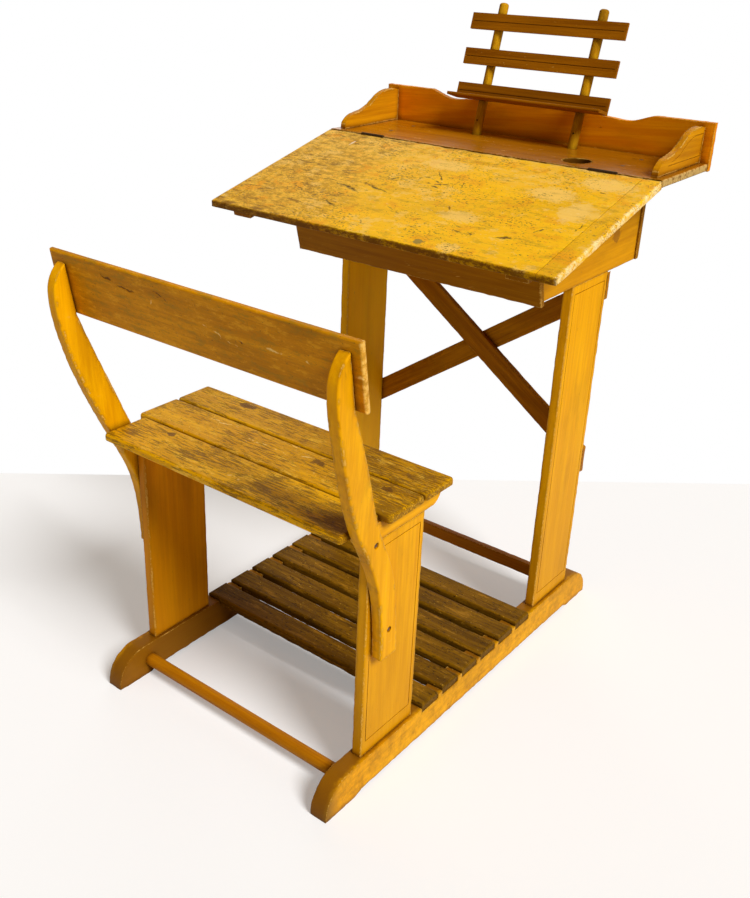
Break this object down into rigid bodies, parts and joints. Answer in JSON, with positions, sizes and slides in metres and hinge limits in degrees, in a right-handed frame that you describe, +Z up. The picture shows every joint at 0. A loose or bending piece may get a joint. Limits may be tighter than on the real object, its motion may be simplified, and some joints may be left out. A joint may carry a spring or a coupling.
{
  "type": "school desk with lift lid",
  "caption": "Wooden school desk: sloping lid on brass hinges over a box, shelf with inkwell hole, sliding book rest, and a seat with curved back posts on the same runners.",
  "frame": {"origin": "middle of the desk on the floor, under the bounding box centre", "axes": "+X to the right of the pupil who sits at it, +Y from the seat towards the desk, +Z up"},
  "size_m": [0.609, 0.8531, 0.9923],
  "materials": {
    "honey_varnish": "satin",
    "worn_top": "satin",
    "worn_seat": "satin",
    "dark_varnish": "satin",
    "hinge_metal": "matte",
    "iron_fasteners": "matte"
  },
  "bodies": {
    "root": {"back_post_left": "honey_varnish", "back_post_right": "honey_varnish", "backrest_board": "worn_seat", "box_back": "honey_varnish", "box_floor": "honey_varnish", "box_front": "honey_varnish", "box_side_left": "honey_varnish", "box_side_right": "honey_varnish", "brace_bowed": "dark_varnish", "brace_screws": "iron_fasteners", "brace_straight": "dark_varnish", "desk_stretcher": "dark_varnish", "desk_upright_left": "honey_varnish", "desk_upright_right": "honey_varnish", "foot_slat_1": "dark_varnish", "foot_slat_2": "dark_varnish", "foot_slat_3": "dark_varnish", "foot_slat_4": "dark_varnish", "foot_slat_5": "dark_varnish", "foot_slat_6": "dark_varnish", "gallery_back": "honey_varnish", "gallery_wing_left": "honey_varnish", "gallery_wing_right": "honey_varnish", "hinge_pins": "hinge_metal", "hinge_screws": "hinge_metal", "hinge_shelf_leaf_left": "hinge_metal", "hinge_shelf_leaf_right": "hinge_metal", "post_screws": "iron_fasteners", "rod_guide_batten": "dark_varnish", "runner_left": "honey_varnish", "runner_right": "honey_varnish", "seat_bearer_left": "honey_varnish", "seat_bearer_right": "honey_varnish", "seat_board_front": "worn_seat", "seat_board_middle": "worn_seat", "seat_board_rear": "worn_seat", "seat_screws": "iron_fasteners", "seat_stretcher_rod": "dark_varnish", "seat_upright_left": "honey_varnish", "seat_upright_right": "honey_varnish", "shelf": "worn_top", "shelf_screws": "iron_fasteners", "slat_nails": "iron_fasteners"},
    "lid": {"lid_panel": "worn_top", "lid_clamp_left": "worn_top", "lid_clamp_right": "worn_top", "lid_batten_left": "honey_varnish", "lid_batten_right": "honey_varnish", "hinge_lid_leaf_left": "hinge_metal", "hinge_lid_leaf_right": "hinge_metal", "lid_screws": "iron_fasteners"},
    "book_rest": {"rest_rod_left": "dark_varnish", "rest_rod_right": "dark_varnish", "rest_slat_top": "dark_varnish", "rest_slat_middle": "dark_varnish", "rest_slat_bottom": "dark_varnish", "rest_ledge": "dark_varnish", "rest_nails": "iron_fasteners"}
  },
  "joints": [
    {"name": "lid_hinge", "type": "hinge", "parent": "root", "child": "lid", "pos_m": [0, 0.2275, 0.7854], "axis": [-1, 0, 0], "range_deg": [0, 135]},
    {"name": "book_rest_slide", "type": "slide", "parent": "root", "child": "book_rest", "axis": [0, 0.2672, 0.9636], "range_m": [-0.055, 0.03]}
  ]
}
